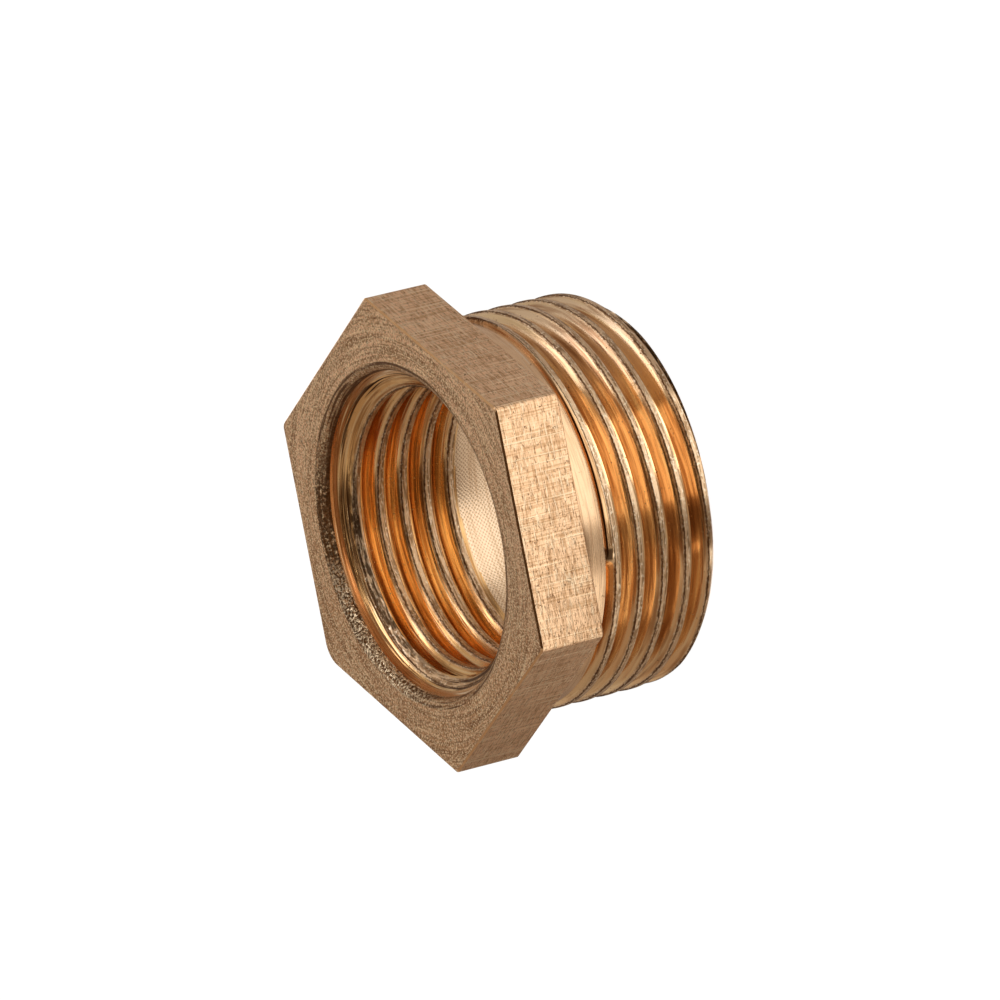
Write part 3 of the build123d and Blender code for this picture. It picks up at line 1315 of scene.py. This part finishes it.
    def blank(self, materials: dict[Region, bpy.types.Material]) -> bpy.types.Object:
        """Lofts the rings into the unthreaded blank.

        Args:
            materials: the finish of each region that isn't threaded.

        Returns:
            The blank, still open where its first column meets its last.
        """
        inner = self.neck_radius + self.shoulder_radius
        rings = self.shank_rings()
        rings += self.collar.rings(self.columns, inner, self.lip_outer)
        rings += self.bore_rings()
        wide, tall = len(self.columns.angles), len(rings)
        angles = self.columns.angles
        points = np.empty((tall, wide, 3))
        for i, ring in enumerate(rings):
            points[i, :, 0] = ring.radius * np.cos(angles)
            points[i, :, 1] = ring.radius * np.sin(angles)
            points[i, :, 2] = ring.height
        row, column = np.meshgrid(np.arange(tall), np.arange(wide - 1), indexing="ij")
        above = (row + 1) % tall
        faces = np.stack([row * wide + column, row * wide + column + 1,
                          above * wide + column + 1, above * wide + column], axis=-1)
        mesh = bpy.data.meshes.new(NODE)
        mesh.from_pydata((points.reshape(-1, 3) * MM).tolist(), [], faces.reshape(-1, 4).tolist())
        self._note(mesh, rings, wide)
        order = list(materials)
        for region in order:
            mesh.materials.append(materials[region])
        slots = [order.index(ring.region) if ring.region in materials else 0 for ring in rings]
        mesh.polygons.foreach_set("material_index", np.repeat(slots, wide - 1).astype(np.int32))
        piece = bpy.data.objects.new("bushing_brass", mesh)
        bpy.context.scene.collection.objects.link(piece)
        return piece

    def _note(self, mesh: bpy.types.Mesh, rings: list[Ring], wide: int) -> None:
        """Writes on the mesh which thread cuts each point, and which surface each face is.

        Args:
            mesh: the blank's mesh.
            rings: its rings, in the order of its points.
            wide: points in one ring.
        """
        cuts = [-1 if ring.cut is None else int(ring.cut) for ring in rings]
        notes = (
            ("turn", "FLOAT", "POINT", np.tile(self.columns.turns, len(rings))),
            ("climbs", "FLOAT", "POINT", np.repeat([float(r.climbs) for r in rings], wide)),
            ("cut", "INT", "POINT", np.repeat(cuts, wide)),
            ("region", "INT", "FACE", np.repeat([int(r.region) for r in rings], wide - 1)),
        )
        for name, kind, domain, values in notes:
            attribute = mesh.attributes.new(name, kind, domain)
            numbers = values.astype(np.float32 if kind == "FLOAT" else np.int32)
            attribute.data.foreach_set("value", numbers)

    def weld(self, piece: bpy.types.Object) -> None:
        """Turns the threaded blank into one closed plain mesh.

        Args:
            piece: the blank with its thread modifiers, which are removed.
        """
        graph = bpy.context.evaluated_depsgraph_get()
        mesh = bpy.data.meshes.new_from_object(piece.evaluated_get(graph))
        piece.modifiers.clear()
        work = bmesh.new()
        work.from_mesh(mesh)
        bmesh.ops.remove_doubles(work, verts=work.verts, dist=WELD_DISTANCE)
        bmesh.ops.dissolve_degenerate(work, edges=work.edges, dist=WELD_DISTANCE)
        bmesh.ops.triangulate(work, faces=[f for f in work.faces if len(f.verts) > 4])
        bmesh.ops.recalc_face_normals(work, faces=work.faces)
        if work.calc_volume(signed=True) < 0:
            bmesh.ops.reverse_faces(work, faces=work.faces)
        open_edges = sum(not edge.is_manifold for edge in work.edges)
        log.info("open or doubled edges: %d, volume %.0f mm3", open_edges,
                 work.calc_volume() / MM**3)
        work.to_mesh(mesh)
        work.free()
        for name in ("turn", "climbs", "cut", "region"):
            mesh.attributes.remove(mesh.attributes[name])
        mesh.shade_smooth()
        mesh.set_sharp_from_angle(angle=SHARP_EDGE_ANGLE)
        piece.data = mesh

    def build(self) -> bpy.types.Object:
        """Makes, threads, welds and dresses the bushing.

        Returns:
            The finished piece, in place of the CAD node.
        """
        # Clean turned metal, which mirrors the room softly, in fine rings.
        turned = TurnedBrass("turned_brass", "#F8D0A4", 0.25).material()
        materials = {
            Region.END_FACE: turned,
            Region.NECK: turned,
            Region.SEAT: turned,
            # Drawn bar skin, satin and woven, with the brightest flat facing the lamp.
            Region.FLATS: DrawnFlats("drawn_brass_flats", "#FDD2A6", 0.34).material(),
            # Rubbed edge, smoother than the faces beside it, so it shows as a thin clear line.
            Region.EDGE: TurnedBrass("broken_brass_edge", "#EBBE8E", 0.16, 0.2).material(),
            # Rough parted face, the dullest surface of all.
            Region.HEX_FACE: SawnFace("sawn_brass_face", "#F2C8A0", 0.46).material(),
            # The same skin bent round the lip, torn dark, with painted glints.
            Region.LIP: TornLip("torn_brass_lip", "#E2B890", 0.46).material(),
            # Bored step with strong rings, its colour painted darker as shade where it looks into
            # the bore.
            Region.MOUTH: TurnedBrass("bored_brass_mouth", "#D6AA7E", 0.27, 0.95).material(),
            # Reamed wall, the smoothest surface, bright with rows of dots.
            Region.BORE: ChatteredBore("reamed_brass_bore", "#FFE0BC", 0.20).material(),
        }
        # Cut flanks mirror one another sharply, so the grooves glow orange between pale crests.
        outer = CutThread("cut_brass_male_thread", "#F5C792", 0.15, self.male,
                          torn_low=-0.2, torn_high=self.end_chamfer,
                          torn_bearing=-50.0, side_light=0.6).material()
        inner = CutThread("cut_brass_female_thread", "#F4C384", 0.15, self.female,
                          torn_low=self.female.high - 0.06,
                          torn_high=self.female.high + 0.40, torn_bearing=112.0).material()
        piece = self.blank(materials)
        cutter = ThreadCutter()
        cutter.cut(piece, self.male, outer, outer)
        cutter.cut(piece, self.female, inner, materials[Region.BORE])
        self.weld(piece)
        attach(piece, "root")
        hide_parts(NODE)
        triangles = sum(len(p.vertices) - 2 for p in piece.data.polygons)
        log.info("%s: %d triangles", piece.name, triangles)
        return piece


@dataclass(frozen=True)
class Softbox:
    """One rectangular studio lamp that faces the bushing.

    Attributes:
        name: the lamp's name.
        bearing: bearing from the bushing, in degrees.
        elevation: elevation from there, in degrees.
        distance: distance from the bushing, in metres.
        width: size of the lamp across, in metres.
        length: its other size.
        radiance: how bright its face is, where 1 is white.
        colour: colour of its light.
    """

    name: str
    bearing: float
    elevation: float
    distance: float
    width: float
    length: float
    radiance: float
    colour: str = "#FFFFFF"

    def build(self, aim: Vector) -> bpy.types.Object:
        """Hangs the lamp.

        Args:
            aim: the point that it faces.

        Returns:
            The lamp's object.
        """
        lamp = bpy.data.lights.new(self.name, "AREA")
        lamp.shape = "RECTANGLE"
        lamp.size, lamp.size_y = self.width, self.length
        lamp.color = linear(self.colour)[:3]
        lamp.energy = self.radiance * math.pi * self.width * self.length
        holder = bpy.data.objects.new(self.name, lamp)
        away = heading(self.bearing, self.elevation)
        holder.location = aim + away * self.distance
        holder.rotation_euler = away.to_track_quat("Z", "Y").to_euler()
        holder.visible_camera = False
        bpy.context.scene.collection.objects.link(holder)
        return holder


@dataclass(frozen=True)
class Flag:
    """Grey card on the table that only reflections see, over one sector round a point.

    Attributes:
        name: the card's name.
        start: bearing where the sector begins, in degrees.
        end: bearing where it ends.
        inner: radius where the card begins, in metres.
        outer: radius where it ends.
        colour: how bright the card is.
        centre: the point that the sector goes round, in metres.
        lift: height of the card over the table.
        steps: straight pieces along the sector's arc.
    """

    name: str
    start: float
    end: float
    inner: float
    outer: float
    colour: str
    centre: tuple[float, float] = (0.0, 0.0)
    lift: float = 0.00005
    steps: int = 24

    def build(self) -> bpy.types.Object:
        """Lays the card.

        Returns:
            The card's object.
        """
        points, faces = [], []
        for i in range(self.steps + 1):
            angle = math.radians(self.start + (self.end - self.start) * i / self.steps)
            for radius in (self.inner, self.outer):
                points.append((self.centre[0] + radius * math.cos(angle),
                               self.centre[1] + radius * math.sin(angle), self.lift))
        for i in range(self.steps):
            faces.append((2 * i, 2 * i + 1, 2 * i + 3, 2 * i + 2))
        mesh = bpy.data.meshes.new(self.name)
        mesh.from_pydata(points, [], faces)
        return reflected_card(self.name, mesh, self.colour)


@dataclass(frozen=True)
class Panel:
    """Upright rectangle beside the bushing that only reflections see, bright or dark.

    Attributes:
        name: the panel's name.
        bearing: bearing from the bushing, in degrees.
        elevation: elevation from there, in degrees.
        distance: distance from the bushing, in metres.
        width: size of the panel across, in metres.
        length: its other size.
        colour: how bright it is.
    """

    name: str
    bearing: float
    elevation: float
    distance: float
    width: float
    length: float
    colour: str

    def build(self, aim: Vector) -> bpy.types.Object:
        """Hangs the panel so that it faces the bushing.

        Args:
            aim: the point that it faces.

        Returns:
            The panel's object.
        """
        x, y = self.width / 2, self.length / 2
        mesh = bpy.data.meshes.new(self.name)
        mesh.from_pydata([(-x, -y, 0), (x, -y, 0), (x, y, 0), (-x, y, 0)], [], [(0, 1, 2, 3)])
        panel = reflected_card(self.name, mesh, self.colour)
        away = heading(self.bearing, self.elevation)
        panel.location = aim + away * self.distance
        panel.rotation_euler = away.to_track_quat("Z", "Y").to_euler()
        return panel


def heading(bearing: float, elevation: float) -> Vector:
    """Points from the bushing to one side.

    Args:
        bearing: bearing of that side, in degrees.
        elevation: elevation over the table, in degrees.

    Returns:
        The unit vector.
    """
    turn, rise = math.radians(bearing), math.radians(elevation)
    return Vector((math.cos(turn) * math.cos(rise), math.sin(turn) * math.cos(rise),
                   math.sin(rise)))


def reflected_card(name: str, mesh: bpy.types.Mesh, colour: str) -> bpy.types.Object:
    """Makes a studio card that glows evenly and is seen in reflections only.

    Args:
        name: the card's name.
        mesh: its shape.
        colour: how bright it is.

    Returns:
        The card's object, marked as part of the stage.
    """
    material = bpy.data.materials.new(name)
    material.use_nodes = True
    tree = material.node_tree
    tree.nodes.clear()
    glow = add(tree, "ShaderNodeEmission", [linear(colour), 1.0])
    add(tree, "ShaderNodeOutputMaterial", {"Surface": glow})
    mesh.materials.append(material)
    card = bpy.data.objects.new(name, mesh)
    card.visible_camera = False
    card.visible_diffuse = False
    card.visible_shadow = False
    card.visible_transmission = False
    bpy.context.scene.collection.objects.link(card)
    card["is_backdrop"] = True
    return card


@dataclass
class Studio:
    """White table, soft lamps and the camera at the photograph's angle.

    Attributes:
        aim: the point that lamps, panels and camera face, in metres.
        camera_bearing: bearing of the camera, in degrees.
        camera_elevation: elevation of the camera, in degrees.
        camera_roll: how far the camera is turned about its view, in degrees.
        camera_distance: distance of the camera, in metres.
        lens: focal length of the camera, in mm.
        table_size: length of the square table's side, in metres.
        table_glow: how brightly the table glows to the camera, where 1 is white.
        mirrored_glow: how much more brightly it glows in reflections.
        seen_share: share of that glow in what the camera sees. The rest takes the shadow.
        mirrored_share: share of it in reflections.
        room_colour: colour of the room's even light.
        lamps: the lamps.
        flags: cards on the table, which put the dark and bright bands in the thread grooves.
        panels: cards beside the bushing, which shade its rims and the left of its bore.
    """

    aim: Vector = field(default_factory=lambda: Vector((0.00085, 0.00032, 0.00815)))
    camera_bearing: float = -84.613
    camera_elevation: float = 30.484
    camera_roll: float = 103.782
    camera_distance: float = 0.76323
    lens: float = 420.905
    table_size: float = 12.0
    table_glow: float = 1.15
    mirrored_glow: float = 0.45
    seen_share: float = 0.85
    mirrored_share: float = 0.75
    room_colour: str = "#B8B0A7"
    lamps: tuple[Softbox, ...] = (
        Softbox("front_softbox", -65.0, 20.0, 0.9, 0.6, 0.4, 3.0),
        Softbox("back_softbox", 32.0, 57.0, 0.9, 0.54, 0.48, 1.734, "#FDF8FF"),
    )
    flags: tuple[Flag, ...] = (
        Flag("right_flag", -35.0, 66.0, 0.0134, 0.4, "#B0A8A4"),
        Flag("right_near_flag", -36.5, 60.0, 0.0, 0.0125, "#B0A8A4", (0.0061, -0.0115), 0.00006),
        Flag("right_near_shade", -43.0, -36.5, 0.0, 0.0125, "#6E6258", (0.0061, -0.0115),
             0.00006),
        Flag("left_flag", 114.0, 150.0, 0.0134, 0.4, "#80736A"),
        Flag("left_middle_flag", 150.0, 166.0, 0.0134, 0.4, "#897C72"),
        Flag("left_front_flag", 166.0, 184.0, 0.0134, 0.4, "#94877C"),
        Flag("left_side_flag", 184.0, 204.0, 0.0134, 0.4, "#A29488"),
        Flag("left_near_flag", 204.0, 228.0, 0.0134, 0.026, "#9C8D80"),
        Flag("front_near_flag", 228.0, 244.0, 0.0134, 0.026, "#A49486"),
        Flag("gap_shade", -134.0, -103.0, 0.0062, 0.0245, "#A09286", (0.0004, -0.0075), 0.00006),
        Flag("gap_flag", -128.0, -109.0, 0.0062, 0.0245, "#7C7066", (0.0004, -0.0075), 0.00007),
        Flag("bore_flag", -30.0, 262.0, 0.0, 0.0045, "#C8C0B8", (-0.0005, 0.0050)),
        Flag("bore_shade", -30.0, 262.0, 0.0045, 0.016, "#756A60", (-0.0005, 0.0050)),
    )
    panels: tuple[Panel, ...] = (
        Panel("front_panel", -95.0, 62.0, 0.5, 0.5, 0.42, "#4A3826"),
        Panel("left_panel", 150.0, 38.0, 0.5, 0.5, 0.40, "#A09082"),
    )

    def build(self) -> None:
        """Sets up the table, the room, the lamps, the cards and the camera."""
        self.table()
        self.room()
        for lamp in (*self.lamps, *self.panels):
            lamp.build(self.aim)
        for flag in self.flags:
            flag.build()
        self.camera()
        bpy.context.scene.view_settings.view_transform = "Standard"

    def table(self) -> None:
        """Lays a white table that stays white to the camera and keeps the bushing's shadow."""
        half = self.table_size / 2
        mesh = bpy.data.meshes.new("table")
        mesh.from_pydata([(-half, -half, 0), (half, -half, 0), (half, half, 0), (-half, half, 0)],
                         [], [(0, 1, 2, 3)])
        material = bpy.data.materials.new("white_table")
        material.use_nodes = True
        tree = material.node_tree
        tree.nodes.clear()
        path = add(tree, "ShaderNodeLightPath").outputs
        seen = add(tree, "ShaderNodeMath", [path["Is Glossy Ray"], path["Is Transmission Ray"]],
                   operation="MAXIMUM")
        share = add(tree, "ShaderNodeMath", [seen, self.mirrored_share], operation="MULTIPLY")
        share = add(tree, "ShaderNodeMath", [path["Is Camera Ray"], self.seen_share, share],
                    operation="MULTIPLY_ADD")
        matt = add(tree, "ShaderNodeBsdfDiffuse", [linear("#F4F4F4")])
        glow = add(tree, "ShaderNodeMath", [seen, self.mirrored_glow, self.table_glow],
                   operation="MULTIPLY_ADD")
        white = add(tree, "ShaderNodeEmission", [linear("#FFFFFF"), glow])
        both = add(tree, "ShaderNodeMixShader", [share, matt, white])
        add(tree, "ShaderNodeOutputMaterial", {"Surface": both})
        mesh.materials.append(material)
        table = bpy.data.objects.new("table", mesh)
        bpy.context.scene.collection.objects.link(table)
        table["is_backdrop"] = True

    def room(self) -> None:
        """Fills the room with even, dim light."""
        world = bpy.data.worlds.new("room")
        world.use_nodes = True
        world.node_tree.nodes["Background"].inputs["Color"].default_value = linear(self.room_colour)
        bpy.context.scene.world = world

    def camera(self) -> None:
        """Places the camera where the photograph was taken from."""
        back = heading(self.camera_bearing, self.camera_elevation)
        data = bpy.data.cameras.new("camera")
        data.lens = self.lens
        data.clip_start, data.clip_end = 0.01, 50.0
        camera = bpy.data.objects.new("camera", data)
        level = back.to_track_quat("Z", "Y").to_matrix()
        roll = Matrix.Rotation(math.radians(-self.camera_roll), 3, "Z")
        camera.matrix_world = Matrix.Translation(self.aim + back * self.camera_distance) @ (
            level @ roll).to_4x4()
        bpy.context.scene.collection.objects.link(camera)
        bpy.context.scene.camera = camera


def main() -> None:
    """Loads the frame, builds the bushing and its studio, and works out the scene's bounds."""
    logging.basicConfig(level=logging.INFO, format="%(name)s: %(message)s")
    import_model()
    low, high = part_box(NODE)
    bushing = Bushing(height=(high.z - low.z) / MM, across_flats=(high.y - low.y) / MM)
    bushing.build()
    Studio().build()
    low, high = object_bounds()


if __name__ == "__main__":
    main()
